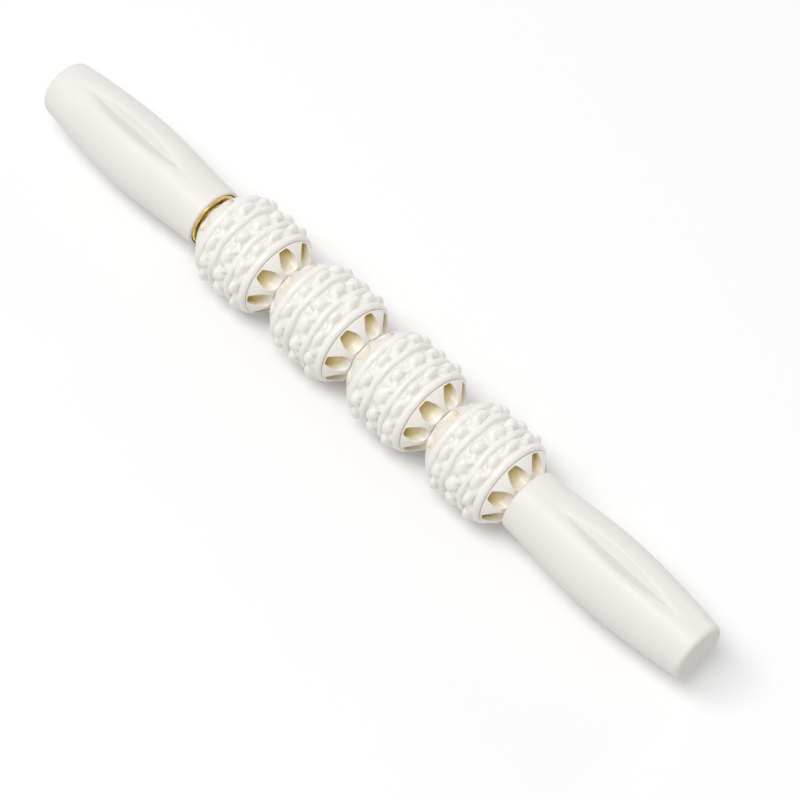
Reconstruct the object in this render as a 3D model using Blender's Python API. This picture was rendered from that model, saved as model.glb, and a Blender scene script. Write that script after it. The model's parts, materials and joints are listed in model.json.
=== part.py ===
"""Massage roller stick: four net-covered rollers that spin on a steel rod between two moulded handles.

Lengths are in metres. X runs along the rod, Z is up, and the origin is the middle of the rod's axis.
"""

from math import atan2, cos, hypot, pi, radians, sin, sqrt

import bmesh
import bpy

# Fits shared by all pieces
seat_gap = 0.0003
running_gap = 0.0003
weld_distance = 0.000001
smooth_limit = radians(38)
cage_smooth_limit = radians(50)
net_smooth_limit = radians(80)
full_turn = 2 * pi

# Whole stick: the rollers in a row, some end play, and a handle at each end
roller_count = 4
roller_length = 0.0510
roller_spacing = 0.0004
end_play = 0.0009
handle_length = 0.1065

# Rod, which ends inside the handles
rod_end_inset = 0.0220
rod_radius = 0.0050
rod_sides = 16
rod_chamfer = 0.0008
rod_hole_depth = 0.0150

# Handle shell
handle_sides = 30
handle_mouth_radius = 0.0158
handle_swell_radius = 0.0187
handle_end_radius = 0.0142
handle_swell_share = 0.49
handle_neck_power_share = 0.9
handle_tail_power_share = 1.7
handle_stations = 8
handle_lip_wall = 0.0016
handle_lip_round = 0.0008
handle_end_fillet = 0.0026
fillet_steps = 3
handle_wall_at_end = 0.0060
handle_cavity_step = 0.0017

# Leaf grooves in the handle, one on top and one underneath
groove_start = 0.0190
groove_length = 0.0720
groove_depth = 0.0030
groove_half_width = 0.0054
groove_stations = 9
groove_overrun = 0.0040
groove_overrun_share = 0.06

# Brass collar in the handle's mouth
collar_inset = 0.0008
collar_depth = 0.0050
collar_bead_width = 0.0016
collar_bead_height = 0.0008
collar_dish_depth = 0.0010
collar_boss_radius = 0.0078
collar_sides = 20

# Ribbed liner that carries the handle on the rod
liner_end_clearance = 0.0005
liner_tube_radius = 0.0078
liner_rib_count = 6
liner_rib_thickness = 0.0022

# Screw and washer in each end of the rod
screw_radius = 0.0024
screw_head_radius = 0.0045
screw_head_height = 0.0030
screw_tip_clearance = 0.0010
screw_chamfer = 0.0006
screw_sides = 12
end_washer_radius = 0.0095
end_washer_thickness = 0.0015

# Bush in each roller, and the spacer rings between bushes
bush_wall = 0.0013
bush_recess = 0.0006
bush_sides = 12
spacer_step = 0.0002

# Roller cage, moulded as two halves
cage_sectors = 8
cage_steps = 2
cage_drum_radius = 0.0200
cage_lip_step = 0.0007
cage_face_radius = 0.0107
cage_dome_power_share = 1.7
cage_rib_width = 0.0038
pocket_inner_margin = 0.0006
pocket_outer_margin = 0.0008
pocket_widest_share = 0.57
pocket_rim_width_share = 0.53
pocket_hub_width_share = 0.76
pocket_ledge_width = 0.0010
pocket_ledge_drop = 0.0006
pocket_depth = 0.0050
pocket_draft = 0.0003

# Net sleeve: four round strands, rungs between them, and three rows of knobs
net_wall = 0.0007
net_floor_drop = 0.00035
strand_spacing = 0.0102
strand_half_width = 0.0016
strand_height = 0.0018
rim_half_width = 0.0018
rim_height = 0.0014
strand_wander_share = 0.17
strand_wander_turns = 5
rung_height = 0.0012
rung_lean_share = 0.07
knob_count = 12
knob_turn_share = 0.27
knob_height = 0.0036
knob_length_share = 0.90
knob_width_share = 0.66
knob_top_length_share = 0.55
knob_top_width_share = 0.45
knob_wander_share = 0.11
cell_half_share = 0.32

# Turn of each roller about the rod as the stick lies on two rows of knobs
roller_turns = (radians(127), radians(67), radians(157), radians(97))

# Sizes that follow from the ones above
roller_pitch = roller_length + roller_spacing
mouth_x = (roller_count * roller_pitch - roller_spacing) / 2 + end_play
half_length = mouth_x + handle_length
stack_shift = end_play - running_gap
rod_length = 2 * (half_length - rod_end_inset)
cage_end_x = roller_length / 2
net_half = 1.5 * strand_spacing + rim_half_width
cage_lip_x = net_half + seat_gap


def bore_radius(shaft_radius, gap, sides):
    """Corner radius of a many-sided bore whose flats stay clear of a round shaft."""
    return (shaft_radius + gap) / cos(pi / sides)


rod_bore_radius = bore_radius(rod_radius, running_gap, bush_sides)
rod_hole_radius = bore_radius(screw_radius, seat_gap, rod_sides)
bush_radius = rod_bore_radius + bush_wall
spacer_radius = bush_radius - spacer_step
cage_sides = cage_sectors * cage_steps
cage_bore_radius = bore_radius(bush_radius, seat_gap, cage_sides)
cage_lip_radius = cage_drum_radius + cage_lip_step
pocket_inner_radius = cage_face_radius + pocket_inner_margin
pocket_outer_radius = cage_lip_radius - pocket_outer_margin
pocket_middle_radius = pocket_inner_radius + (pocket_outer_radius - pocket_inner_radius) * pocket_widest_share
pocket_rim_reach = pocket_outer_radius - pocket_middle_radius
pocket_hub_reach = pocket_middle_radius - pocket_inner_radius
pocket_half_width = pocket_middle_radius * pi / cage_sectors - cage_rib_width / 2
column_shares = (-cell_half_share, cell_half_share, 0.50)
net_columns = knob_count * len(column_shares)
net_bore_radius = bore_radius(cage_drum_radius, seat_gap, net_columns) + seat_gap / 2
net_floor_radius = net_bore_radius + net_wall + net_floor_drop
knob_pitch = full_turn / knob_count
cell_half_width = strand_spacing / 2 - strand_half_width
cell_half_turn = cell_half_share * knob_pitch
knob_half_width = knob_width_share * cell_half_width
collar_seat_radius = handle_mouth_radius - handle_lip_wall
collar_radius = collar_seat_radius * cos(pi / handle_sides) - seat_gap
collar_face_x = mouth_x + collar_inset
collar_back_x = collar_face_x + collar_depth
handle_cavity_radius = collar_seat_radius - handle_cavity_step
liner_start_x = collar_back_x + seat_gap
liner_end_x = rod_length / 2 + liner_end_clearance
liner_rib_radius = handle_cavity_radius * cos(pi / handle_sides) - seat_gap
washer_face_x = liner_end_x + seat_gap
screw_head_x = washer_face_x + end_washer_thickness + seat_gap


def clear_scene():
    for obj in list(bpy.data.objects):
        bpy.data.objects.remove(obj, do_unlink=True)


def material(name, colour, roughness, metallic=0.0):
    made = bpy.data.materials.new(name)
    made.use_nodes = True
    shader = made.node_tree.nodes["Principled BSDF"]
    shader.inputs["Base Color"].default_value = (*colour, 1.0)
    shader.inputs["Roughness"].default_value = roughness
    shader.inputs["Metallic"].default_value = metallic
    return made


def make_materials():
    return {
        "handle": material("handle_ivory", (0.86, 0.84, 0.79), 0.38),
        "cage": material("cage_ivory", (0.85, 0.82, 0.74), 0.32),
        "net": material("net_ivory", (0.88, 0.86, 0.80), 0.30),
        "brass": material("collar_brass", (0.78, 0.56, 0.20), 0.22, 1.0),
        "steel": material("rod_steel", (0.62, 0.63, 0.65), 0.28, 1.0),
        "nylon": material("bush_nylon", (0.80, 0.79, 0.75), 0.45),
        "liner": material("liner_grey", (0.40, 0.40, 0.41), 0.55),
    }


def around_x(x, angle, radius):
    return (x, radius * cos(angle), radius * sin(angle))


def finished_mesh(bm, name, limit=smooth_limit):
    """Weld, face outward and smooth a bmesh, and give it back as a mesh."""
    bmesh.ops.remove_doubles(bm, verts=bm.verts, dist=weld_distance)
    bmesh.ops.recalc_face_normals(bm, faces=bm.faces)
    mesh = bpy.data.meshes.new(name)
    bm.to_mesh(mesh)
    bm.free()
    mesh.shade_smooth()
    mesh.set_sharp_from_angle(angle=limit)
    return mesh


def turned_mesh(name, outline, sides):
    """A closed outline of (x, radius) points spun about the rod's axis."""
    bm = bmesh.new()
    points = [bm.verts.new(around_x(x, 0.0, radius)) for x, radius in outline]
    loop = [bm.edges.new((a, b)) for a, b in zip(points, points[1:] + points[:1])]
    bmesh.ops.spin(
        bm,
        geom=points + loop,
        cent=(0, 0, 0),
        axis=(1, 0, 0),
        angle=full_turn,
        steps=sides,
        use_merge=True,
    )
    return finished_mesh(bm, name)


def add_object(name, mesh, paint, parent=None, turn_z=0.0, x=0.0):
    if not mesh.materials:
        mesh.materials.append(paint)
    obj = bpy.data.objects.new(name, mesh)
    obj.location.x = x
    obj.rotation_euler.z = turn_z
    obj.parent = parent
    bpy.context.scene.collection.objects.link(obj)
    return obj


def add_empty(name, x, turn_x=0.0):
    empty = bpy.data.objects.new(name, None)
    empty.location.x = x
    empty.rotation_euler.x = turn_x
    empty.empty_display_size = rod_radius
    bpy.context.scene.collection.objects.link(empty)
    return empty


def add_pair(name, mesh, paint):
    """The same piece on both ends: the left one is the right one turned half way about Z."""
    return [
        add_object(name + "_right", mesh, paint),
        add_object(name + "_left", mesh, paint, turn_z=pi),
    ]


def handle_radius(along):
    """Outer radius of the handle at a distance from its mouth."""
    swell = handle_swell_share * handle_length
    if along < swell:
        share = (along / swell) ** handle_neck_power_share
        rise = (1 - cos(pi * share)) / 2
        return handle_mouth_radius + (handle_swell_radius - handle_mouth_radius) * rise
    share = (along - swell) / (handle_length - swell)
    return handle_swell_radius - (handle_swell_radius - handle_end_radius) * share**handle_tail_power_share


def arc(centre_x, centre_radius, size, start, end, steps):
    """Points of an arc in the (x, radius) plane, with angles from +x towards +radius."""
    angles = [start + (end - start) * i / steps for i in range(steps + 1)]
    return [(centre_x + size * cos(a), centre_radius + size * sin(a)) for a in angles]


def handle_outline():
    body_end = handle_length - handle_end_fillet
    lip = arc(
        mouth_x + handle_lip_round,
        handle_mouth_radius - handle_lip_round,
        handle_lip_round,
        pi,
        pi / 2,
        fillet_steps - 1,
    )
    body = []
    for i in range(1, handle_stations):
        along = handle_lip_round + (body_end - handle_lip_round) * i / handle_stations
        body.append((mouth_x + along, handle_radius(along)))
    end_corner = arc(
        mouth_x + body_end,
        handle_radius(body_end) - handle_end_fillet,
        handle_end_fillet,
        pi / 2,
        0.0,
        fillet_steps,
    )
    seat_depth = collar_inset + collar_depth + seat_gap
    inside = [
        (half_length, 0.0),
        (half_length - handle_wall_at_end, 0.0),
        (half_length - handle_wall_at_end, handle_cavity_radius),
        (mouth_x + seat_depth, handle_cavity_radius),
        (mouth_x + seat_depth, collar_seat_radius),
        (mouth_x, collar_seat_radius),
    ]
    return lip + body + end_corner + inside


def groove_cutter(name, underneath):
    """A shallow V wedge whose keel dips under the handle's skin and rises out of it at both ends."""
    edge_height = sqrt(handle_swell_radius**2 - groove_half_width**2)
    keel_rise = edge_height - (handle_swell_radius - groove_depth)
    slope = groove_half_width / keel_rise
    top = handle_swell_radius + groove_overrun
    bm = bmesh.new()
    sections = []
    for i in range(groove_stations):
        share = (1 + 2 * groove_overrun_share) * i / (groove_stations - 1) - groove_overrun_share
        along = groove_start + groove_length * share
        depth = groove_depth * (1 - (2 * share - 1) ** 2)
        keel = handle_radius(along) - depth
        reach = (top - keel) * slope
        x = mouth_x + along
        corners = [(x, 0.0, keel), (x, reach, top), (x, -reach, top)]
        sections.append([bm.verts.new(corner) for corner in corners])
    for near, far in zip(sections, sections[1:]):
        for i in range(len(near)):
            j = (i + 1) % len(near)
            bm.faces.new((near[i], near[j], far[j], far[i]))
    bm.faces.new(sections[0])
    bm.faces.new(sections[-1])
    cutter = bpy.data.objects.new(name, finished_mesh(bm, name))
    cutter.rotation_euler.x = pi if underneath else 0.0
    cutter.hide_render = True
    cutter.display_type = "WIRE"
    bpy.context.scene.collection.objects.link(cutter)
    return cutter


def make_handles(paint):
    mesh = turned_mesh("handle_shell", handle_outline(), handle_sides)
    cutters = [groove_cutter("groove_top_cutter", False), groove_cutter("groove_under_cutter", True)]
    right = add_object("handle_right", mesh, paint)
    for cutter in cutters:
        cut = right.modifiers.new(cutter.name, "BOOLEAN")
        cut.operation = "DIFFERENCE"
        cut.object = cutter
    grooved = baked_mesh(right, "handle_grooved")
    right.modifiers.clear()
    right.data = grooved
    for cutter in cutters:
        bpy.data.objects.remove(cutter, do_unlink=True)
    add_object("handle_left", grooved, paint, turn_z=pi)


def baked_mesh(obj, name):
    """The object's mesh with its modifiers applied."""
    bpy.context.view_layer.update()
    graph = bpy.context.evaluated_depsgraph_get()
    mesh = bpy.data.meshes.new_from_object(obj.evaluated_get(graph))
    mesh.name = name
    return mesh


def collar_outline():
    """Brass collar: a rounded bead at the rim, a dished face, and a boss that the rollers bear on."""
    face = collar_face_x
    bead = collar_bead_width / 2
    floor = face + collar_bead_height + collar_dish_depth
    return [
        (collar_back_x, rod_bore_radius),
        (face, rod_bore_radius),
        (face, collar_boss_radius),
        (floor, collar_boss_radius + collar_dish_depth),
        (face + collar_bead_height, collar_radius - collar_bead_width),
        (face, collar_radius - bead),
        (face + collar_bead_height, collar_radius),
        (collar_back_x, collar_radius),
    ]


def liner_mesh(name):
    """A tube on the rod with long ribs that fill the handle's cavity."""
    rib_half_angle = liner_rib_thickness / 2 / liner_rib_radius
    root_half_angle = liner_rib_thickness / 2 / liner_tube_radius
    pitch = full_turn / liner_rib_count
    section = []
    for i in range(liner_rib_count):
        middle = i * pitch
        section.append((middle - root_half_angle, liner_tube_radius))
        section.append((middle - rib_half_angle, liner_rib_radius))
        section.append((middle + rib_half_angle, liner_rib_radius))
        section.append((middle + root_half_angle, liner_tube_radius))
        section.append((middle + pitch / 2, liner_tube_radius))
    bm = bmesh.new()
    rings = []
    for x, bored in ((liner_start_x, False), (liner_end_x, False), (liner_end_x, True), (liner_start_x, True)):
        ring = [bm.verts.new(around_x(x, angle, rod_bore_radius if bored else radius)) for angle, radius in section]
        rings.append(ring)
    bridge_rings(bm, rings + rings[:1])
    return finished_mesh(bm, name)


def bridge_rings(bm, rings):
    """Faces between neighbouring rings that have as many points each."""
    for near, far in zip(rings, rings[1:]):
        for i in range(len(near)):
            j = (i + 1) % len(near)
            bm.faces.new((near[i], near[j], far[j], far[i]))


def rod_outline():
    end = rod_length / 2
    hole = end - rod_hole_depth
    return [
        (-end + rod_chamfer, rod_radius),
        (end - rod_chamfer, rod_radius),
        (end, rod_radius - rod_chamfer),
        (end, rod_hole_radius),
        (hole, rod_hole_radius),
        (hole, 0.0),
        (-hole, 0.0),
        (-hole, rod_hole_radius),
        (-end, rod_hole_radius),
        (-end, rod_radius - rod_chamfer),
    ]


def screw_outline():
    tip = rod_length / 2 - rod_hole_depth + screw_tip_clearance
    head_end = screw_head_x + screw_head_height
    return [
        (tip, 0.0),
        (tip, screw_radius - screw_chamfer),
        (tip + screw_chamfer, screw_radius),
        (screw_head_x, screw_radius),
        (screw_head_x, screw_head_radius),
        (head_end - screw_chamfer, screw_head_radius),
        (head_end, screw_head_radius - screw_chamfer),
        (head_end, 0.0),
    ]


def ring_outline(start_x, end_x, bore, radius):
    return [(start_x, bore), (start_x, radius), (end_x, radius), (end_x, bore)]


def dome_x(radius):
    """Distance of the cage's domed end from the roller's middle, at a radius."""
    share = (radius - cage_face_radius) / (cage_lip_radius - cage_face_radius)
    return cage_end_x - (cage_end_x - cage_lip_x) * share**cage_dome_power_share


def pocket_ring(middle, shrink, rim_reach):
    """(angle, radius) of the points around one pocket, in step with the border of its sector."""
    half = pocket_half_width - shrink
    rim_half = half * pocket_rim_width_share
    hub_half = half * pocket_hub_width_share
    hub_reach = pocket_hub_reach - shrink
    hub_turn = hub_reach * pocket_hub_width_share
    places = [(-rim_half, rim_reach), (0, rim_reach), (rim_half, rim_reach), (half, 0)]
    places += [(hub_half, -hub_turn), (0, -hub_reach), (-hub_half, -hub_turn), (-half, 0)]
    points = []
    for side, out in places:
        radius = pocket_middle_radius + out
        points.append((middle + atan2(side, radius), hypot(side, radius)))
    return points


def cage_mesh(name):
    """The right half of a roller's cage: drum wall, domed end, hub, and a ring of deep pockets.

    A pocket's mouth runs out to the lip, and a ledge under the lip keeps the pocket's wall clear of the drum's.
    Its floor slopes as the dome over it does.
    """
    bm = bmesh.new()
    sector = full_turn / cage_sectors
    mid_radius = (cage_lip_radius + cage_face_radius) / 2
    inner_reach = pocket_rim_reach - pocket_ledge_width
    floor_middle = dome_x(pocket_middle_radius) - pocket_depth
    mouth_rise = dome_x(pocket_inner_radius) - dome_x(pocket_outer_radius)
    floor_slope = mouth_rise / (pocket_outer_radius - pocket_inner_radius)
    for i in range(cage_sectors):
        middle = i * sector
        angles = [middle + sector * (j / cage_steps - 1 / 2) for j in range(cage_steps + 1)]
        border = [around_x(cage_lip_x, a, cage_lip_radius) for a in angles]
        border.append(around_x(dome_x(mid_radius), angles[-1], mid_radius))
        border += [around_x(cage_end_x, a, cage_face_radius) for a in reversed(angles)]
        border.append(around_x(dome_x(mid_radius), angles[0], mid_radius))
        outline = pocket_ring(middle, 0.0, pocket_rim_reach)
        tops = [dome_x(radius) for _, radius in outline]
        mouth = [around_x(top, a, r) for top, (a, r) in zip(tops, outline)]
        inner = pocket_ring(middle, 0.0, inner_reach)
        ledge = [around_x(top - pocket_ledge_drop, a, r) for top, (a, r) in zip(tops, inner)]
        floor = []
        for angle, radius in pocket_ring(middle, pocket_draft, inner_reach):
            out = radius * cos(angle - middle) - pocket_middle_radius
            floor.append(around_x(floor_middle - floor_slope * out, angle, radius))
        rings = [[bm.verts.new(point) for point in ring] for ring in (border, mouth, ledge, floor)]
        bridge_rings(bm, rings)
        bm.faces.new(rings[-1])
    split_x = seat_gap / 2
    body = [
        (cage_lip_x, cage_lip_radius),
        (cage_lip_x, cage_drum_radius),
        (split_x, cage_drum_radius),
        (split_x, cage_bore_radius),
        (cage_end_x, cage_bore_radius),
        (cage_end_x, cage_face_radius),
    ]
    rings = []
    for x, radius in body:
        steps = [full_turn * (j - cage_steps / 2) / cage_sides for j in range(cage_sides)]
        rings.append([bm.verts.new(around_x(x, a, radius)) for a in steps])
    bridge_rings(bm, rings)
    return finished_mesh(bm, name, cage_smooth_limit)


def net_floor(x):
    """Radius of the sleeve's skin between the strands: a slight barrel."""
    rim_x = 1.5 * strand_spacing
    return net_floor_radius - net_floor_drop * (x / rim_x) ** 2


def strand_rows():
    """(x, height, strand index) of each ring of points along the sleeve: foot, crest and foot of each strand.

    The rims' outer feet are left out, because there the crest runs down to the edge of the bore.
    """
    rows = []
    for i in range(4):
        place = (i - 1.5) * strand_spacing
        at_rim = i in (0, 3)
        half = rim_half_width if at_rim else strand_half_width
        height = rim_height if at_rim else strand_height
        rows += [(place - half, 0.0, i), (place, height, i), (place + half, 0.0, i)]
    return rows[1:-1]


def strand_shift(strand, angle):
    """How far an inner strand strays sideways as it runs round; the rims run true."""
    if strand in (0, 3):
        return 0.0
    return strand_wander_share * cell_half_width * sin(strand_wander_turns * angle + strand)


def add_knob(bm, corners, x, angle):
    """A long knob in the cell between four corners: a six-sided foot and a smaller flat top."""
    reach = knob_length_share * cell_half_turn
    foot_places = [(-1, 0), (-1 / 2, -1), (1 / 2, -1), (1, 0), (1 / 2, 1), (-1 / 2, 1)]
    foot = []
    for along, across in foot_places:
        foot_x = x + across * knob_half_width
        foot.append(bm.verts.new(around_x(foot_x, angle + along * reach, net_floor(foot_x))))
    top = []
    for along, across in [(-1, -1), (1, -1), (1, 1), (-1, 1)]:
        top_x = x + across * knob_top_width_share * knob_half_width
        top_angle = angle + along * knob_top_length_share * reach
        top.append(bm.verts.new(around_x(top_x, top_angle, net_floor(x) + knob_height)))
    low_near, low_far, high_far, high_near = corners
    faces = [
        (low_near, low_far, foot[2], foot[1]),
        (low_far, foot[3], foot[2]),
        (low_far, high_far, foot[3]),
        (high_far, foot[4], foot[3]),
        (high_far, high_near, foot[5], foot[4]),
        (high_near, foot[0], foot[5]),
        (high_near, low_near, foot[0]),
        (low_near, foot[1], foot[0]),
        (foot[0], foot[1], top[0]),
        (foot[1], foot[2], top[1], top[0]),
        (foot[2], foot[3], top[1]),
        (foot[3], top[2], top[1]),
        (foot[3], foot[4], top[2]),
        (foot[4], foot[5], top[3], top[2]),
        (foot[5], foot[0], top[3]),
        (foot[0], top[0], top[3]),
        top,
    ]
    for face in faces:
        bm.faces.new(face)


def net_mesh(name):
    """The elastic net sleeve over a cage."""
    bm = bmesh.new()
    shares = [i + share + knob_turn_share for i in range(knob_count) for share in column_shares]
    angles = [share * knob_pitch for share in shares]
    rows = strand_rows()
    grid = []
    for row, (x, height, strand) in enumerate(rows):
        ring = []
        for column, angle in enumerate(angles):
            place = x + strand_shift(strand, angle)
            on_rung = height == 0 and column % 3 == 2
            lean = rung_lean_share * knob_pitch * (1 if row % 3 == 1 else -1) if on_rung else 0.0
            lift = rung_height if on_rung else height
            ring.append(bm.verts.new(around_x(place, angle + lean, net_floor(place) + lift)))
        grid.append(ring)
    for row in range(len(rows) - 1):
        for column in range(net_columns):
            beyond = (column + 1) % net_columns
            corners = (grid[row][column], grid[row][beyond], grid[row + 1][beyond], grid[row + 1][column])
            if row % 3 == 1 and column % 3 == 0:
                knob = column // 3
                wander = knob_wander_share * cell_half_width * sin(knob * row)
                cell_x = (rows[row][0] + rows[row + 1][0]) / 2 + wander
                add_knob(bm, corners, cell_x, (knob + knob_turn_share) * knob_pitch)
            else:
                bm.faces.new(corners)
    bore = [[bm.verts.new(around_x(x, a, net_bore_radius)) for a in angles] for x in (net_half, -net_half)]
    bridge_rings(bm, [grid[-1], *bore, grid[0]])
    return finished_mesh(bm, name, net_smooth_limit)


def make_rollers(paints):
    net = net_mesh("net_sleeve")
    cage = cage_mesh("cage_half")
    bush_half = roller_length / 2 - bush_recess
    bush_outline = ring_outline(-bush_half, bush_half, rod_bore_radius, bush_radius)
    bush = turned_mesh("bush", bush_outline, bush_sides)
    for i in range(roller_count):
        name = f"roller_{i + 1}"
        x = (i - (roller_count - 1) / 2) * roller_pitch + stack_shift
        axle = add_empty(name + "_axle", x, roller_turns[i])
        add_object(name + "_net", net, paints["net"], axle)
        add_object(name + "_cage_right", cage, paints["cage"], axle)
        add_object(name + "_cage_left", cage, paints["cage"], axle, turn_z=pi)
        add_object(name + "_bush", bush, paints["nylon"], axle)


def make_spacers(paint):
    """Thin rings on the rod that keep the bushes apart, sunk in the ends of the cage bores."""
    thickness = 2 * bush_recess + roller_spacing - 2 * seat_gap
    outline = ring_outline(-thickness / 2, thickness / 2, rod_bore_radius, spacer_radius)
    mesh = turned_mesh("spacer", outline, bush_sides)
    for i in range(roller_count + 1):
        x = (i - roller_count / 2) * roller_pitch + stack_shift
        add_object(f"spacer_{i + 1}", mesh, paint, x=x)


def make_ends(paints):
    collar = turned_mesh("collar", collar_outline(), collar_sides)
    add_pair("collar", collar, paints["brass"])
    add_pair("handle_liner", liner_mesh("handle_liner"), paints["liner"])
    washer_end = washer_face_x + end_washer_thickness
    washer_bore = bore_radius(screw_radius, seat_gap, screw_sides)
    washer_outline = ring_outline(washer_face_x, washer_end, washer_bore, end_washer_radius)
    add_pair("rod_washer", turned_mesh("rod_washer", washer_outline, bush_sides), paints["steel"])
    add_pair("rod_screw", turned_mesh("rod_screw", screw_outline(), screw_sides), paints["steel"])


def main():
    clear_scene()
    paints = make_materials()
    add_object("core_rod", turned_mesh("core_rod", rod_outline(), rod_sides), paints["steel"])
    make_rollers(paints)
    make_spacers(paints["nylon"])
    make_ends(paints)
    make_handles(paints["handle"])


main()
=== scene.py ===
"""The massage roller stick's looks: fine surfaces over the frame, with materials, light and camera.

Lengths are in metres, X runs along the rod and Z is up, as in the frame.
"""

import json
from math import asin, atan2, cos, hypot, pi, radians, sin, sqrt, tan

import bmesh
import bpy
import numpy as np
from mathutils import Matrix, Vector


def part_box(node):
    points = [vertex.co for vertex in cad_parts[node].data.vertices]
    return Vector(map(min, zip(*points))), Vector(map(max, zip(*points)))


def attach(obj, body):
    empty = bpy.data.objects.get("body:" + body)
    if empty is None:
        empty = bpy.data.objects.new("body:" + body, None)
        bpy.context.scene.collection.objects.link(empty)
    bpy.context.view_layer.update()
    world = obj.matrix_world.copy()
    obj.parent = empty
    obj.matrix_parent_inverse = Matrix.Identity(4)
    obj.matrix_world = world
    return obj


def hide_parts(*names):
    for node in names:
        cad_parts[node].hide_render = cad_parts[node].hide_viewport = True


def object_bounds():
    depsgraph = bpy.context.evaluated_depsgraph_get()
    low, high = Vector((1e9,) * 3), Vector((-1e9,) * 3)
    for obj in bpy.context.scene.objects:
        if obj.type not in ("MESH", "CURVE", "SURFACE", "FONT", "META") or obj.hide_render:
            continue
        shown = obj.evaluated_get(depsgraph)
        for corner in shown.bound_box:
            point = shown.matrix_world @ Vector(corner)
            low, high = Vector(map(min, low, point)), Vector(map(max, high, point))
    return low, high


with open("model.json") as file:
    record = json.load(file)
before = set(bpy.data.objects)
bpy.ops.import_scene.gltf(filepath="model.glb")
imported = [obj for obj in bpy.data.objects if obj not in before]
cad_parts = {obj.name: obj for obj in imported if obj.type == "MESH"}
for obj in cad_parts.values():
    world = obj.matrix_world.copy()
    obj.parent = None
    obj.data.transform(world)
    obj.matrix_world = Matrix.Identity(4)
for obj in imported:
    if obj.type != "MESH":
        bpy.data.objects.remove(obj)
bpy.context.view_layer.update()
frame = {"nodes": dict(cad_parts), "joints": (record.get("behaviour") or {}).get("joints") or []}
full_turn = 2 * pi

# Camera: where it stands round the stick's middle, and how far off the middle it aims
view_azimuth = radians(46.49)
view_elevation = radians(58.22)
view_distance = 1.528
view_lens = 150.4
aim_right = 0.0153
aim_down = 0.0202

# Light: levels of the sky, and each lamp's tilt towards -Y, lean towards +X and level on a white floor
sky_level = 0.475
seen_sky_level = 1.0
lamp_distance = 3.2
lamp_width = 1.40
lamps = {
    "lamp_front": (radians(15), radians(0), 0.27),
    "lamp_front_right": (radians(20), radians(25), 0.085),
    "lamp_front_left": (radians(20), radians(-25), 0.185),
    "lamp_back": (radians(-72), radians(0), 0.032),
}
floor_half = 3.0
floor_colour = 0.985
floor_bounce_colour = (0.76, 0.755, 0.74)

# Handle shell, as in the frame's part, with rounded edges
mouth_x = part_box("handle_right")[0].x
end_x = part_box("handle_right")[1].x
handle_length = end_x - mouth_x
handle_mouth_radius = 0.0158
handle_swell_radius = 0.0187
handle_end_radius = 0.0142
handle_swell_share = 0.49
handle_neck_power_share = 0.9
handle_tail_power_share = 1.7
handle_lip_wall = 0.0016
handle_lip_round = 0.0013
handle_seat_round = 0.0003
handle_end_fillet = 0.0026
handle_seat_depth = 0.0060
handle_end_ring_shares = (0.97, 0.85, 0.6, 0.3, 0.002)
handle_sides = 256
handle_stations = 170
fillet_steps = 10

# Leaf grooves, and the part of their depth over which a painted shade sets in and darkens them, which the
# flat end has too
groove_start = 0.0190
groove_length = 0.0720
groove_depth = 0.0030
groove_half_width = 0.0054
groove_edge_round = 0.00055
groove_least_fall_share = 0.2
handle_painted_shade = (0.905, 0.895, 0.88)
handle_painted_shade_shares = (0.24, 0.34)

# Brass collar, whose round outer ring stands proud of the handle's mouth
collar_proud = 0.0006
collar_depth = 0.0050
collar_ring_tube = 0.0011
collar_bead = 0.00045
collar_dish_depth = 0.0014
collar_boss_inset = 0.0004
collar_boss_radius = 0.0078
collar_bore_radius = 0.0055
collar_sides = 160

# Roller cage: a drum with a lip, and a domed end with a ring of pockets
cage_end_x = (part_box("roller_1_cage_right")[1].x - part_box("roller_1_cage_left")[0].x) / 2
cage_sectors = 8
cage_drum_radius = 0.0200
cage_lip_step = 0.0007
cage_face_radius = 0.0107
cage_bore_radius = 0.0073
cage_dome_power_share = 1.7
cage_split = 0.00015
cage_dome_height = 0.0081
cage_lip_x = cage_end_x - cage_dome_height
cage_lip_radius = cage_drum_radius + cage_lip_step
cage_smooth_limit = radians(50)
weld_distance = 0.000001
border_arc_steps = 14
border_side_steps = 12
patch_steps = 12
round_steps = 6
wall_steps = 12

# Pockets, with painted shade that grows along the walls and over the floor to the rim side: first a pale
# painted shade, then a deep ochre one
pocket_middle_radius = 0.0162
pocket_hub_reach = 0.0050
pocket_rim_reach = 0.0040
pocket_ledge_width = 0.0006
pocket_hub_ramp = 0.0009
pocket_half_width = 0.0045
pocket_taper = radians(29.6)
pocket_taper_reach = 0.0041
pocket_round_power = 2.4
pocket_corner_power = 13
pocket_wall_power = 1.5
pocket_ledge_share = 0.15
pocket_depth = 0.0058
pocket_edge_round = 0.0003
pocket_bottom_round = 0.0008
pocket_floor_ring_shares = (0.75, 0.5, 0.25, 0.02)
pocket_hub_painted_shade_share = 0.60
pocket_pale_painted_shade = (0.95, 0.90, 0.76)
pocket_pale_painted_shade_shares = (0.12, 0.42)
pocket_deep_painted_shade = (0.64, 0.50, 0.115)
pocket_deep_painted_shade_shares = (0.57, 0.87)
# Painted shade on the drum, the split face and the bore, in the gap between the cage halves
seam_painted_shade_share = 0.5

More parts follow.
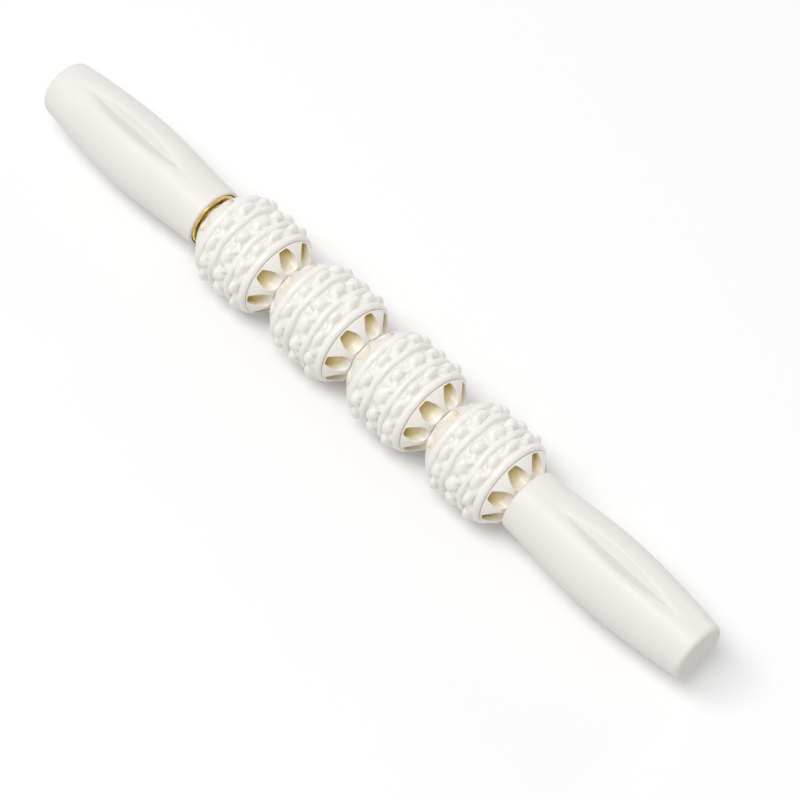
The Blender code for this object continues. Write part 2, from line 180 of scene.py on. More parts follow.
# Net sleeve: two strands between round rims, and three columns of knobs on strands that wind beside them
rim_place = 0.0149
rim_tube = 0.0021
rim_centre_radius = 0.02050
net_bore_radius = 0.02053
net_floor_radius = 0.02115
net_floor_drop = 0.00030
strand_place = 0.0057
strand_tube = 0.00165
strand_centre_radius = 0.02175
strand_wander = 0.00018
strand_sway_shares = ((6, 1.0, 1.0), (12, 0.6, 2.4), (5, 0.8, 1.7))
strand_swell_share = 0.10
strand_swell_turns = 7
winding_tube = 0.00200
winding_centre_radius = 0.02140
column_spacing = 0.0102
winding_at_knob = -0.0003
winding_between = (0.0017, 0.0027, 0.0017)
winding_swell_turns = 5
winding_lag_share = 0.3
winding_lag_turns = 3
winding_swing_share = 0.15
winding_swing_turns = 5
net_stations = 170
net_sides = 540
net_bore_stations = 5
# Painted shade in the hollows between strands and knobs, gone where the relief has risen past this share
hollow_painted_shade = (0.92, 0.905, 0.88)
hollow_painted_shade_share = 0.8

# Knobs: height, half length and half width of each size, and how far each knob strays from them
knob_count = 12
knob_turn_share = 0.27
knob_centre_radius = 0.02160
short_knob = (0.0033, 0.0038, 0.0025)
long_knob = (0.0035, 0.0051, 0.0026)
middle_knob_share = 1.2
knob_seed = 7
knob_draws = 5
knob_jitter = 0.00055
knob_lean_share = 0.12
knob_width_share = 0.14
knob_height_share = 0.06

# Relief: how a round top ends, how strands and knobs blend, and a faint ripple over them
round_edge_share = 0.97
round_edge_height_share = 0.243
round_fall_share = 4
relief_blend = 0.00048
ripple_height = 0.00005
ripple_waves = 900
ripple_turns = 17
ripple_drift = 3
ripple_drift_turns = 5
ripple_lean = 2
ripple_lean_waves = 400

# Colour and roughness of each finish, then the grain's scale, or the scale and height of turned rings
handle_finish = ((0.860, 0.832, 0.792), 0.42, 2600)
cage_finish = ((0.940, 0.910, 0.855), 0.28, 1800)
net_finish = ((0.922, 0.897, 0.853), 0.30, 1500)
nylon_finish = ((0.78, 0.77, 0.72), 0.42, 2400)
liner_finish = ((0.38, 0.38, 0.39), 0.50, 2400)
brass_finish = ((0.85, 0.63, 0.22), 0.22, 900, 0.000004)
steel_finish = ((0.62, 0.63, 0.65), 0.26, 700, 0.000003)
white = (1.0, 1.0, 1.0)

# Scale, detail and roughness of each noise, though a grain's scale comes with its finish
cloud_noise = (45, 3, 0.5)
smear_noise = (160, 4, 0.5)
stain_noise = (300, 4, 0.5)
flow_noise = (220, 5, 0.6)
ivory_grain_noise = (3, 0.6)
plain_grain_noise = (2, 0.5)

# The range of a noise that counts, and how far it changes a colour, a gloss or a surface
cloud_range_shares = (0.35, 0.65)
noise_range_shares = (0.3, 0.7)
cloud_dark_share = 0.985
stain_dark_share = 0.86
flow_light_share = 1.08
smear_gloss_shares = (0.04, 0.05)
stain_gloss_share = 0.08
flow_gloss_share = 0.12
ivory_grain_depth = 0.00001
plain_grain_depth = 0.00003
ivory_refraction = 1.49
ring_distortion = 0.4

# Turn of each roller at rest, and the extra turn of its sleeve, by one knob or none
roller_turns = (radians(127), radians(67), radians(157), radians(97))
sleeve_steps = (0, 0, 1, 1)


# Shapes


def around_x(x, angle, radius):
    return (x, radius * cos(angle), radius * sin(angle))


def ring_grid(x, radius, angles):
    """A grid of points round the X axis, from places x and radii in rows, and an angle for each column."""
    return np.stack(np.broadcast_arrays(x, radius * np.cos(angles), radius * np.sin(angles)), axis=-1)


def grid_mesh(name, points, closed_rows):
    """A mesh over a grid of points, closed round each row, and from the last row to the first if asked."""
    rows, sides = points.shape[:2]
    index = np.arange(rows * sides).reshape(rows, sides)
    near = index if closed_rows else index[:-1]
    far = np.roll(index, -1, axis=0) if closed_rows else index[1:]
    faces = np.stack([near, np.roll(near, -1, axis=1), np.roll(far, -1, axis=1), far], axis=-1)
    mesh = bpy.data.meshes.new(name)
    mesh.from_pydata(points.reshape(-1, 3), [], faces.reshape(-1, 4).tolist())
    mesh.shade_smooth()
    return mesh


def face_outward(mesh):
    bm = bmesh.new()
    bm.from_mesh(mesh)
    bmesh.ops.recalc_face_normals(bm, faces=bm.faces)
    bm.to_mesh(mesh)
    bm.free()


def add_attribute(mesh, name, values):
    attribute = mesh.attributes.new(name, "FLOAT", "POINT")
    attribute.data.foreach_set("value", np.asarray(values, np.float32).ravel())


def add_piece(name, mesh, body, node, turn_z=0.0, x=0.0):
    """An object that rides on a body and stands for one of the frame's nodes."""
    piece = bpy.data.objects.new(name, mesh)
    bpy.context.scene.collection.objects.link(piece)
    piece.matrix_world = Matrix.Translation((x, 0, 0)) @ Matrix.Rotation(turn_z, 4, "Z")
    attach(piece, body)
    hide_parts(node)


def arc(centre_x, centre_radius, size, start, end, steps):
    """Points of an arc in the (x, radius) plane, with angles from +x towards +radius."""
    angles = np.linspace(start, end, steps + 1)
    return [(centre_x + size * cos(a), centre_radius + size * sin(a)) for a in angles]


def handle_radius(along):
    """The shell's radius at a length from its mouth: it swells, then draws in towards the end."""
    swell = handle_swell_share * handle_length
    if along < swell:
        share = (along / swell) ** handle_neck_power_share
        growth = handle_swell_radius - handle_mouth_radius
        return handle_mouth_radius + growth * (1 - cos(pi * share)) / 2
    share = (along - swell) / (handle_length - swell)
    loss = handle_swell_radius - handle_end_radius
    return handle_swell_radius - loss * share**handle_tail_power_share


def handle_outline():
    """(x, radius) from the seat of the collar, round the lip, along the body and over the end."""
    lip, inner = handle_lip_round, handle_seat_round
    seat_radius = handle_mouth_radius - handle_lip_wall
    body_end = handle_length - handle_end_fillet
    outline = [(mouth_x + handle_seat_depth, seat_radius)]
    outline += arc(mouth_x + inner, seat_radius + inner, inner, -pi / 2, -pi, fillet_steps)
    outline += arc(mouth_x + lip, handle_mouth_radius - lip, lip, pi, pi / 2, fillet_steps)
    places = np.linspace(lip, body_end, handle_stations + 1)[1:-1]
    outline += [(mouth_x + along, handle_radius(along)) for along in places]
    end_centre = handle_radius(body_end) - handle_end_fillet
    outline += arc(mouth_x + body_end, end_centre, handle_end_fillet, pi / 2, 0.0, fillet_steps)
    return outline + [(end_x, end_centre * share) for share in handle_end_ring_shares]


def groove_radius(along, radius, angle):
    """The skin's radius where the leaf groove's V cuts it, with its edges rounded."""
    share = (along - groove_start) / groove_length
    keel = handle_radius(along) - groove_depth * (1 - (2 * share - 1) ** 2)
    edge_height = sqrt(handle_swell_radius**2 - groove_half_width**2)
    slope = (edge_height - (handle_swell_radius - groove_depth)) / groove_half_width
    off = np.abs(angle % pi - pi / 2)
    fall = np.cos(off) - slope * np.sin(off)
    least = groove_least_fall_share
    cut = np.where(fall > least, keel / np.maximum(fall, least), np.inf)
    blend = groove_edge_round
    return radius - blend * np.logaddexp(0.0, (radius - cut) / blend)


def handle_mesh():
    """A handle's skin, whose attribute for painted shade rises in the grooves and over the flat end."""
    angles = np.linspace(0, full_turn, handle_sides, endpoint=False)
    seat_top = handle_mouth_radius - handle_lip_wall / 2
    body_end = handle_length - handle_end_fillet
    places, rings, painted_shades = [], [], []
    for x, radius in handle_outline():
        along = x - mouth_x
        on_body = radius > seat_top and along < body_end
        ring = groove_radius(along, radius, angles) if on_body else np.full(handle_sides, radius)
        # The painted shade grows with the groove's depth, and over the end's rounded edge onto the flat end
        end_share = max(1 - (handle_length - along) / handle_end_fillet, 0.0)
        painted_shades.append((radius - ring) / groove_depth + end_share * handle_painted_shade_shares[1])
        places.append([x])
        rings.append(ring)
    mesh = grid_mesh("handle_shell", ring_grid(places, np.array(rings), angles), closed_rows=False)
    add_attribute(mesh, "painted_shade", painted_shades)
    face_outward(mesh)
    return mesh


def turned_mesh(name, outline, sides):
    """A closed outline of (x, radius) turned round the X axis."""
    angles = np.linspace(0, full_turn, sides, endpoint=False)
    x, radius = np.array(outline).T
    mesh = grid_mesh(name, ring_grid(x[:, None], radius[:, None], angles), closed_rows=True)
    face_outward(mesh)
    return mesh


def collar_mesh():
    """A brass collar: round outer ring, a dished face and the boss round the rod."""
    face = mouth_x - collar_proud
    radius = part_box("collar_right")[1].z
    tube = collar_ring_tube
    bead = collar_bead
    floor = mouth_x + collar_dish_depth
    back = face + collar_depth
    boss = collar_boss_radius
    boss_corner = mouth_x + collar_boss_inset + bead
    outline = [(back, collar_bore_radius), (boss_corner, collar_bore_radius)]
    outline += arc(boss_corner, collar_bore_radius + bead, bead, -pi / 2, -pi, fillet_steps)
    outline += arc(boss_corner, boss - bead, bead, pi, pi / 2, fillet_steps)
    outline += [(floor, boss + collar_dish_depth / 2), (floor, radius - 2 * tube - bead)]
    outline += arc(face + tube, radius - tube, tube, -pi / 2, -3 * pi / 2, 2 * fillet_steps)
    outline += [(back, radius)]
    return turned_mesh("collar_ring", outline, collar_sides)


def dome_x(radius):
    """Where the cage's end lies at a radius: flat round the hub, then falling to the lip."""
    share = max(radius - cage_face_radius, 0.0) / (cage_lip_radius - cage_face_radius)
    return cage_end_x - (cage_end_x - cage_lip_x) * share**cage_dome_power_share


def sector_border():
    """(angle, radius) round one sector of the cage's end, starting at the lip's low corner."""
    half = pi / cage_sectors
    lip = [(a, cage_lip_radius) for a in np.linspace(-half, half, border_arc_steps + 1)]
    face = [(a, cage_face_radius) for a in np.linspace(half, -half, border_arc_steps + 1)]
    down = np.linspace(cage_lip_radius, cage_face_radius, border_side_steps + 1)[1:-1]
    return lip + [(half, r) for r in down] + face + [(-half, r) for r in reversed(down)]


def pocket_reach(way, rim_reach, hub_reach):
    """The pocket's outline in polar form: a rounded hub side, sides that draw in, and a flat rim side."""
    side, out = abs(cos(way)), sin(way)
    power = pocket_round_power
    round_share = ((side / pocket_half_width) ** power + (abs(out) / hub_reach) ** power) ** (1 / power)
    taper_share = (side * cos(pocket_taper) + out * sin(pocket_taper)) / pocket_taper_reach
    shares = [max(share, 0.0) for share in (taper_share, out / rim_reach)]
    shares.append(round_share if out < 0 else side / pocket_half_width)
    return sum(share**pocket_corner_power for share in shares) ** (-1 / pocket_corner_power)


def pocket_points(grow, ledge=0.0, ramp=0.0):
    """(angle, radius) round the pocket, grown by a length, and drawn in at its rim side and its hub side."""
    points = []
    for angle, radius in sector_border():
        way = atan2(radius * cos(angle) - pocket_middle_radius, radius * sin(angle))
        reach = pocket_reach(way, pocket_rim_reach - ledge, pocket_hub_reach - ramp) + grow
        side = reach * cos(way)
        out = pocket_middle_radius + reach * sin(way)
        points.append((atan2(side, out), hypot(side, out)))
    return points


def pocket_floor_x(angle, radius):
    """The pocket's floor slopes as the dome over it does."""
    hub = pocket_middle_radius - pocket_hub_reach
    rim = pocket_middle_radius + pocket_rim_reach
    slope = (dome_x(hub) - dome_x(rim)) / (rim - hub)
    out = radius * cos(angle) - pocket_middle_radius
    return dome_x(pocket_middle_radius) - pocket_depth - slope * out


def pocket_floor_painted_shade(angle, radius):
    """How much of the deep painted shade the pocket's floor takes: all at its rim side, less at its hub
    side.
    """
    reach = pocket_hub_reach + pocket_rim_reach
    out_share = (radius * cos(angle) - pocket_middle_radius + pocket_hub_reach) / reach
    return pocket_hub_painted_shade_share + (1 - pocket_hub_painted_shade_share) * min(max(out_share, 0.0), 1.0)


def pocket_rings():
    """Rings of (x, angle, radius, painted shade share) from a sector's border over its pocket's edge to the
    floor.
    """
    border = sector_border()
    edge = pocket_points(pocket_edge_round)
    rings = []
    for i in range(patch_steps + 1):
        share = i / patch_steps
        between = [(a + (b - a) * share, r + (s - r) * share) for (a, r), (b, s) in zip(border, edge)]
        rings.append([(dome_x(r), a, r, 0.0) for a, r in between])
    for i in range(1, round_steps + 1):
        turn = pi / 2 * i / round_steps
        inset = pocket_points(pocket_edge_round * (1 - sin(turn)))
        drop = pocket_edge_round * (1 - cos(turn))
        rings.append([(dome_x(r) - drop, a, r, 0.0) for a, r in inset])
    mouth = pocket_points(0.0)
    tops = [dome_x(r) - pocket_edge_round for _, r in mouth]
    for i in range(1, wall_steps + 1):
        share = (i / wall_steps) ** pocket_wall_power
        ledge = pocket_ledge_width * min(share / pocket_ledge_share, 1.0)
        ring = []
        for top, (a, r) in zip(tops, pocket_points(0.0, ledge, pocket_hub_ramp * share)):
            foot = pocket_floor_x(a, r) + pocket_bottom_round
            ring.append((top * (1 - share) + foot * share, a, r, share * pocket_floor_painted_shade(a, r)))
        rings.append(ring)
    for i in range(1, round_steps + 1):
        turn = pi / 2 * i / round_steps
        shrink = pocket_bottom_round * (1 - cos(turn))
        foot_line = pocket_points(-shrink, pocket_ledge_width, pocket_hub_ramp)
        rise = pocket_bottom_round * (1 - sin(turn))
        rings.append([(pocket_floor_x(a, r) + rise, a, r, pocket_floor_painted_shade(a, r)) for a, r in foot_line])
    middle = pocket_middle_radius
    for share in pocket_floor_ring_shares:
        inset = [(a * share, middle + (r - middle) * share) for a, r in foot_line]
        rings.append([(pocket_floor_x(a, r), a, r, pocket_floor_painted_shade(a, r)) for a, r in inset])
    return rings


def add_sector(bm, painted_shade, rings, middle):
    """One sector of a cage's end, with the attribute for its painted shade."""
    made = []
    for ring in rings:
        verts = []
        for x, angle, radius, share in ring:
            vert = bm.verts.new(around_x(x, middle + angle, radius))
            vert[painted_shade] = share
            verts.append(vert)
        made.append(verts)
    bridge_rings(bm, made)
    bm.faces.new(made[-1])


def cage_body_outline():
    """(x, radius) from the lip, along the drum to the split and back through the bore to the end face."""
    lip = cage_lip_step / 2
    outline = arc(cage_lip_x, cage_lip_radius - lip, lip, pi / 2, pi, round_steps)
    outline += [(cage_lip_x - lip, cage_drum_radius), (cage_split, cage_drum_radius)]
    outline += [(cage_split, cage_bore_radius), (cage_end_x - lip, cage_bore_radius)]
    outline += arc(cage_end_x - lip, cage_bore_radius + lip, lip, -pi / 2, 0.0, round_steps)
    return outline + [(cage_end_x, cage_face_radius)]


def cage_mesh():
    """The right half of a cage: domed end with deep rounded pockets, lip, drum and bore."""
    bm = bmesh.new()
    painted_shade = bm.verts.layers.float.new("painted_shade")
    sector_rings = pocket_rings()
    for sector in range(cage_sectors):
        add_sector(bm, painted_shade, sector_rings, sector * full_turn / cage_sectors)
    sides = cage_sectors * border_arc_steps
    angles = [(i + border_arc_steps / 2) * full_turn / sides for i in range(sides)]
    body_rings = []
    for x, radius in cage_body_outline():
        body_rings.append([bm.verts.new(around_x(x, a, radius)) for a in angles])
        for vert in body_rings[-1]:
            # Painted shade on the drum, the split face and the bore, which sit in the gap between the halves
            # and under the net
            vert[painted_shade] = seam_painted_shade_share if x < cage_lip_x else 0.0
    bridge_rings(bm, body_rings)
    bmesh.ops.remove_doubles(bm, verts=bm.verts, dist=weld_distance)
    bmesh.ops.recalc_face_normals(bm, faces=bm.faces)
    mesh = bpy.data.meshes.new("cage_half")
    bm.to_mesh(mesh)
    bm.free()
    mesh.shade_smooth()
    mesh.set_sharp_from_angle(angle=cage_smooth_limit)
    return mesh


def bridge_rings(bm, rings):
    for near, far in zip(rings, rings[1:]):
        for i in range(len(near)):
            j = (i + 1) % len(near)
            bm.faces.new((near[i], near[j], far[j], far[i]))


def net_floor(x):
    """Radius of the slightly crowned barrel between the strands."""
    return net_floor_radius - net_floor_drop * (x / rim_place) ** 2


def round_height(share, size):
    """Height of a round top over its middle line, falling away steeply beside it."""
    top = np.sqrt(np.maximum(1 - share**2, 0))
    beside = round_edge_height_share - (share - round_edge_share) * round_fall_share
    return size * np.where(share < round_edge_share, top, beside)


def short_way(angle):
    """The signed angle nearest to zero."""
    return (angle + pi) % full_turn - pi


def strand_middle(side, turn):
    """Where a strand's middle line lies along the barrel, with a sway of summed waves."""
    sway = sum(size * np.sin(turns * turn + phase * side) for turns, size, phase in strand_sway_shares)
    return side * strand_place + strand_wander * sway


def winding(column, turn):
    """How far a column's strand leaves its middle line: one way at each knob, the other way in between."""
    reach = winding_between[column + 1] - winding_at_knob
    lag = winding_lag_share * np.sin(winding_lag_turns * turn + column)
    share = (1 - np.cos(knob_count * turn - full_turn * knob_turn_share + lag)) / 2
    swing = 1 + winding_swing_share * np.sin(winding_swing_turns * turn + 2 * column)
    return winding_at_knob + reach * share * swing


def relief(x, turn):
    """Radius of the sleeve's outside at points (x, turn): strands and knobs blended over a barrel."""
    layers = [net_floor(x)]
    for side in (-1, 1):
        size = strand_tube * (1 + strand_swell_share * np.sin(strand_swell_turns * turn + 2 * side))
        from_strand = np.abs(x - strand_middle(side, turn)) / size
        from_rim = np.abs(x - side * rim_place) / rim_tube
        layers.append(strand_centre_radius + round_height(from_strand, size))
        layers.append(rim_centre_radius + round_height(from_rim, rim_tube))
    random = np.random.default_rng(knob_seed)
    for column in (-1, 0, 1):
        middle = column * column_spacing + winding(column, turn)
        size = winding_tube * (1 + strand_swell_share * np.sin(winding_swell_turns * turn + column))
        layers.append(winding_centre_radius + round_height(np.abs(x - middle) / size, size))
        for knob in range(knob_count):
            layers.append(knob_layer(x, turn, column, knob, random.uniform(-1, 1, knob_draws)))
    blended = relief_blend * np.logaddexp.reduce(np.array(layers) / relief_blend, axis=0)
    return blended + ripple_height * ripple(x, turn)


def ripple(x, turn):
    """A faint unevenness in crossed waves, between -1 and 1."""
    along = np.sin(ripple_waves * x + ripple_drift * np.sin(ripple_drift_turns * turn))
    return along * np.sin(ripple_turns * turn + ripple_lean * np.sin(ripple_lean_waves * x))


def knob_layer(x, turn, column, knob, draws):
    """A smooth egg-shaped knob, longer round the barrel than across, with its own small shifts."""
    across_draw, around_draw, lean_draw, width_draw, height_draw = draws
    height, half_long, half_wide = short_knob if knob % 2 else long_knob
    middle_turn = (knob + knob_turn_share) * full_turn / knob_count
    around = short_way(turn - middle_turn) * net_floor_radius - knob_jitter * around_draw
    across = x - column * column_spacing - knob_jitter * across_draw
    across = across / (1.0 if column else middle_knob_share) - knob_lean_share * lean_draw * around
    share = np.hypot(around / half_long, across / (half_wide * (1 + knob_width_share * width_draw)))
    return knob_centre_radius + round_height(share, height * (1 + knob_height_share * height_draw))


def net_mesh():
    """The sleeve: relief between the rims, the rims' round outer sides, and a plain bore."""
    turns = np.linspace(0, full_turn, net_sides, endpoint=False)
    x, turn = np.meshgrid(np.linspace(-rim_place, rim_place, net_stations + 1), turns, indexing="ij")
    radius = relief(x, turn)
    foot = asin((net_bore_radius - rim_centre_radius) / rim_tube)
    ways = np.linspace(pi / 2, foot, 2 * round_steps + 1)[1:]
    right_x = [rim_place + rim_tube * cos(way) for way in ways]
    right = [fade_to_tube(radius[-1], rim_tube * sin(way)) for way in ways]
    left = [fade_to_tube(radius[0], rim_tube * sin(way)) for way in reversed(ways)]
    bore_x = np.linspace(right_x[-1], -right_x[-1], net_bore_stations)[1:-1]
    bore = np.full((len(bore_x), net_sides), net_bore_radius)
    places = np.concatenate([[-place for place in reversed(right_x)], x[:, 0], right_x, bore_x])
    points = ring_grid(places[:, None], np.vstack([left, radius, right, bore]), turns)
    mesh = grid_mesh("net_sleeve", points, closed_rows=True)
    # The rise attribute masks the painted shade in the net's hollows
    rise = np.clip((radius - net_floor(x)) / strand_tube, 0, 1)
    left_rise = np.tile(rise[0], (len(left), 1))
    right_rise = np.tile(rise[-1], (len(right), 1))
    add_attribute(mesh, "rise", np.vstack([left_rise, rise, right_rise, np.zeros(bore.shape)]))
    face_outward(mesh)
    return mesh


def fade_to_tube(crest, rise):
    """Radius on the rim's outer side: the tube's own circle, plus what the relief adds at the crest."""
    share = max(rise, 0.0) / rim_tube
    return rim_centre_radius + rise + (crest - rim_centre_radius - rim_tube) * share**2


# Materials


def new_material(name):
    """A material with its nodes, their links and its shader."""
    made = bpy.data.materials.new(name)
    made.use_nodes = True
    return made, made.node_tree.nodes, made.node_tree.links, made.node_tree.nodes["Principled BSDF"]


def object_noise(nodes, links, scale, detail, roughness):
    place = nodes.new("ShaderNodeTexCoord")
    noise = nodes.new("ShaderNodeTexNoise")
    noise.inputs["Scale"].default_value = scale
    noise.inputs["Detail"].default_value = detail
    noise.inputs["Roughness"].default_value = roughness
    links.new(place.outputs["Object"], noise.inputs["Vector"])
    return noise.outputs["Fac"]


def ramp(nodes, links, source, low, high, start=0.0, end=1.0):
    """A colour or grey that goes from low to high over a part of the source's range."""
    made = nodes.new("ShaderNodeValToRGB")
    for element, position, tone in zip(made.color_ramp.elements, (start, end), (low, high)):
        element.position = position
        element.color = (*tone, 1) if isinstance(tone, tuple) else (tone, tone, tone, 1)
    links.new(source, made.inputs["Fac"])
    return made.outputs["Color"]


def add_bump(nodes, links, shader, height, distance):
    bump = nodes.new("ShaderNodeBump")
    bump.inputs["Distance"].default_value = distance
    links.new(height, bump.inputs["Height"])
    links.new(bump.outputs["Normal"], shader.inputs["Normal"])


def ivory_plastic(name, colour, roughness, grain_scale):
    """Moulded ivory plastic: a faint cloud of colour, uneven gloss and a fine moulded grain."""
    made, nodes, links, shader = new_material(name)
    cloud = object_noise(nodes, links, *cloud_noise)
    darker = tuple(channel * cloud_dark_share for channel in colour)
    tint = ramp(nodes, links, cloud, darker, colour, *cloud_range_shares)
    links.new(tint, shader.inputs["Base Color"])
    smear = object_noise(nodes, links, *smear_noise)
    below, above = smear_gloss_shares
    gloss = ramp(nodes, links, smear, roughness - below, roughness + above, *noise_range_shares)
    links.new(gloss, shader.inputs["Roughness"])
    grain = object_noise(nodes, links, grain_scale, *ivory_grain_noise)
    add_bump(nodes, links, shader, grain, ivory_grain_depth)
    shader.inputs["IOR"].default_value = ivory_refraction
    return made


def tint_by(made, attribute, low, high, start, end):
    """Multiply a material's base colour by a ramp over one of the mesh's attributes."""
    nodes, links = made.node_tree.nodes, made.node_tree.links
    base = nodes["Principled BSDF"].inputs["Base Color"]
    value = nodes.new("ShaderNodeAttribute")
    value.attribute_name = attribute
    mix = nodes.new("ShaderNodeMix")
    mix.data_type = "RGBA"
    mix.blend_type = "MULTIPLY"
    mix.inputs["Factor"].default_value = 1.0
    links.new(base.links[0].from_socket, mix.inputs["A"])
    links.new(ramp(nodes, links, value.outputs["Fac"], low, high, start, end), mix.inputs["B"])
    links.new(mix.outputs["Result"], base)


def handle_paint():
    made = ivory_plastic("handle_ivory_satin", *handle_finish)
    # Painted shade darkens the grooves towards their keels, and the flat end
    tint_by(made, "painted_shade", white, handle_painted_shade, *handle_painted_shade_shares)
    return made


def cage_paint():
    made = ivory_plastic("cage_ivory_gloss", *cage_finish)
    # Painted shade in the pockets and in the gap between the halves: pale on the walls, then deep ochre on
    # the floors, most at the rim side
    tint_by(made, "painted_shade", white, pocket_pale_painted_shade, *pocket_pale_painted_shade_shares)
    tint_by(made, "painted_shade", white, pocket_deep_painted_shade, *pocket_deep_painted_shade_shares)
    return made


def net_paint():
    made = ivory_plastic("net_ivory_soft_gloss", *net_finish)
    # Painted shade in the hollows, fading out as the relief rises
    tint_by(made, "rise", hollow_painted_shade, white, 0.0, hollow_painted_shade_share)
    return made


def metal(name, colour, roughness, ring_scale, ring_depth):
    """Turned metal: fine rings round the axis, faint stains and an uneven polish."""
    made, nodes, links, shader = new_material(name)
    shader.inputs["Metallic"].default_value = 1.0
    stain = object_noise(nodes, links, *stain_noise)
    dull = tuple(channel * stain_dark_share for channel in colour)
    links.new(ramp(nodes, links, stain, dull, colour, *noise_range_shares), shader.inputs["Base Color"])
    gloss = ramp(nodes, links, stain, roughness + stain_gloss_share, roughness, *noise_range_shares)
    links.new(gloss, shader.inputs["Roughness"])
    place = nodes.new("ShaderNodeTexCoord")
    rings = nodes.new("ShaderNodeTexWave")
    rings.wave_type = "RINGS"
    rings.rings_direction = "X"
    rings.inputs["Scale"].default_value = ring_scale
    rings.inputs["Distortion"].default_value = ring_distortion
    links.new(place.outputs["Object"], rings.inputs["Vector"])
    add_bump(nodes, links, shader, rings.outputs["Fac"], ring_depth)
    return made


def plain_plastic(name, colour, roughness, grain_scale):
    """Unpolished moulded plastic with flow marks and grain."""
    made, nodes, links, shader = new_material(name)
    flow = object_noise(nodes, links, *flow_noise)
    lighter = tuple(min(channel * flow_light_share, 1.0) for channel in colour)
    links.new(ramp(nodes, links, flow, colour, lighter, *noise_range_shares), shader.inputs["Base Color"])
    gloss = ramp(nodes, links, flow, roughness, roughness + flow_gloss_share, *noise_range_shares)
    links.new(gloss, shader.inputs["Roughness"])
    grain = object_noise(nodes, links, grain_scale, *plain_grain_noise)
    add_bump(nodes, links, shader, grain, plain_grain_depth)
    return made


def seen_ray(nodes, links):
    """1 for rays from the camera, a reflection or clear matter, and 0 for light that surfaces scatter."""
    ray = nodes.new("ShaderNodeLightPath")
    seen = ray.outputs["Is Camera Ray"]
    for kind in ("Is Glossy Ray", "Is Transmission Ray"):
        either = nodes.new("ShaderNodeMath")
        either.operation = "MAXIMUM"
        links.new(seen, either.inputs[0])
        links.new(ray.outputs[kind], either.inputs[1])
        seen = either.outputs["Value"]
    return seen


def floor_paint():
    """A floor that looks white and keeps the object's shadow, but throws less light up on the object."""
    made, nodes, links, shader = new_material("studio_floor")
    shader.inputs["Roughness"].default_value = 1.0
    shader.inputs["Specular IOR Level"].default_value = 0.0
    tone = ramp(nodes, links, seen_ray(nodes, links), floor_bounce_colour, floor_colour)
    links.new(tone, shader.inputs["Base Color"])
    return made


# Pieces


def dress_handles():
    mesh = handle_mesh()
    mesh.materials.append(handle_paint())
    add_piece("handle_skin_right", mesh, "stick", "handle_right")
    add_piece("handle_skin_left", mesh, "stick", "handle_left", turn_z=pi)


def dress_collars():
    mesh = collar_mesh()
    mesh.materials.append(metal("brass_turned", *brass_finish))
    add_piece("collar_ring_right", mesh, "stick", "collar_right")
    add_piece("collar_ring_left", mesh, "stick", "collar_left", turn_z=pi)


def turned_copy(mesh, turn_x, turn_z=0.0):
    """A copy of a mesh with its points turned, so that its own box lies along the frame's axes."""
    copy = mesh.copy()
    copy.transform(Matrix.Rotation(turn_x, 4, "X") @ Matrix.Rotation(turn_z, 4, "Z"))
    return copy


def dress_rollers():
    net, cage = net_mesh(), cage_mesh()
    net.materials.append(net_paint())
    cage.materials.append(cage_paint())
    knob_step = full_turn / knob_count
    for joint, turn, steps in zip(frame["joints"], roller_turns, sleeve_steps):
        body = joint["child"]
        x = joint["pos_m"][0]
        sleeve = turned_copy(net, turn + steps * knob_step)
        add_piece(body + "_net_skin", sleeve, body, body + "_net", x=x)
        for side, turn_z in (("right", 0.0), ("left", pi)):
            name = body + "_cage_" + side
            half = turned_copy(cage, turn, turn_z)
            add_piece(name + "_skin", half, body, name, x=x)


def paint_inner_pieces():
    """Materials for the frame's own pieces that stay: rod, washers, screws, spacers, bushes and liners."""
    steel = metal("steel_drawn", *steel_finish)
    nylon = plain_plastic("nylon_natural", *nylon_finish)
    liner = plain_plastic("liner_grey_plastic", *liner_finish)
    for name, node in frame["nodes"].items():
        if name.startswith(("core_rod", "rod_")):
            node.data.materials[0] = steel
        elif name.startswith("spacer") or name.endswith("bush"):
            node.data.materials[0] = nylon
        elif "liner" in name:
            node.data.materials[0] = liner


# Stage


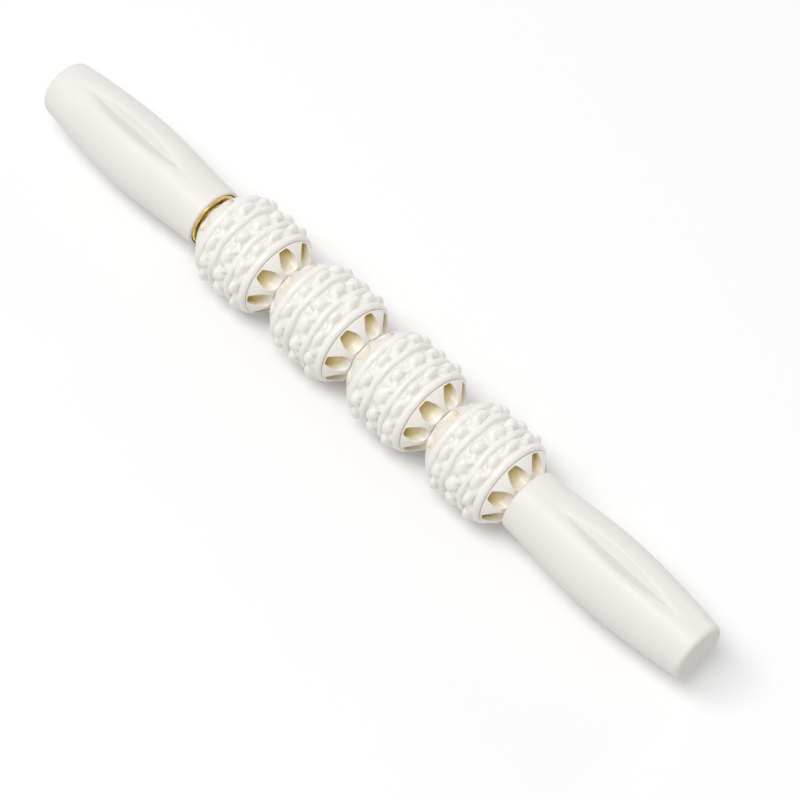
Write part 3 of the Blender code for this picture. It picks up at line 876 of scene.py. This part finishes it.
def make_camera():
    level = Vector((sin(view_azimuth), -cos(view_azimuth), 0))
    right = Vector((cos(view_azimuth), sin(view_azimuth), 0))
    back = level * cos(view_elevation) + Vector((0, 0, sin(view_elevation)))
    up = back.cross(right)
    place = back * view_distance
    ahead = (right * aim_right - up * aim_down - place).normalized()
    side = (right - ahead * right.dot(ahead)).normalized()
    top = side.cross(ahead)
    turn = Matrix((side, top, -ahead)).transposed().to_4x4()
    data = bpy.data.cameras.new("camera")
    data.lens = view_lens
    camera = bpy.data.objects.new("camera", data)
    camera.matrix_world = Matrix.Translation(place) @ turn
    bpy.context.scene.collection.objects.link(camera)
    bpy.context.scene.camera = camera


def make_light():
    world = bpy.data.worlds.new("studio_sky")
    world.use_nodes = True
    nodes, links = world.node_tree.nodes, world.node_tree.links
    tone = ramp(nodes, links, seen_ray(nodes, links), sky_level, seen_sky_level)
    links.new(tone, nodes["Background"].inputs["Color"])
    nodes["Background"].inputs["Strength"].default_value = 1.0
    bpy.context.scene.world = world
    for name, (tilt, lean, level) in lamps.items():
        towards = Vector((tan(lean), -tan(tilt), 1)).normalized()
        data = bpy.data.lights.new(name, "AREA")
        data.shape = "DISK"
        data.size = lamp_width
        data.energy = level * pi**2 * lamp_distance**2 / towards.z
        lamp = bpy.data.objects.new(name, data)
        lamp.location = towards * lamp_distance
        lamp.rotation_euler = towards.to_track_quat("Z", "Y").to_euler()
        bpy.context.scene.collection.objects.link(lamp)


def make_floor():
    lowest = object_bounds()[0].z
    mesh = bpy.data.meshes.new("floor")
    corners = [(x * floor_half, y * floor_half, lowest) for x, y in ((-1, -1), (1, -1), (1, 1), (-1, 1))]
    mesh.from_pydata(corners, [], [(0, 1, 2, 3)])
    mesh.materials.append(floor_paint())
    floor = bpy.data.objects.new("floor", mesh)
    bpy.context.scene.collection.objects.link(floor)


make_camera()
bpy.context.scene.view_settings.view_transform = "Standard"
dress_handles()
dress_collars()
dress_rollers()
paint_inner_pieces()
make_floor()
make_light()
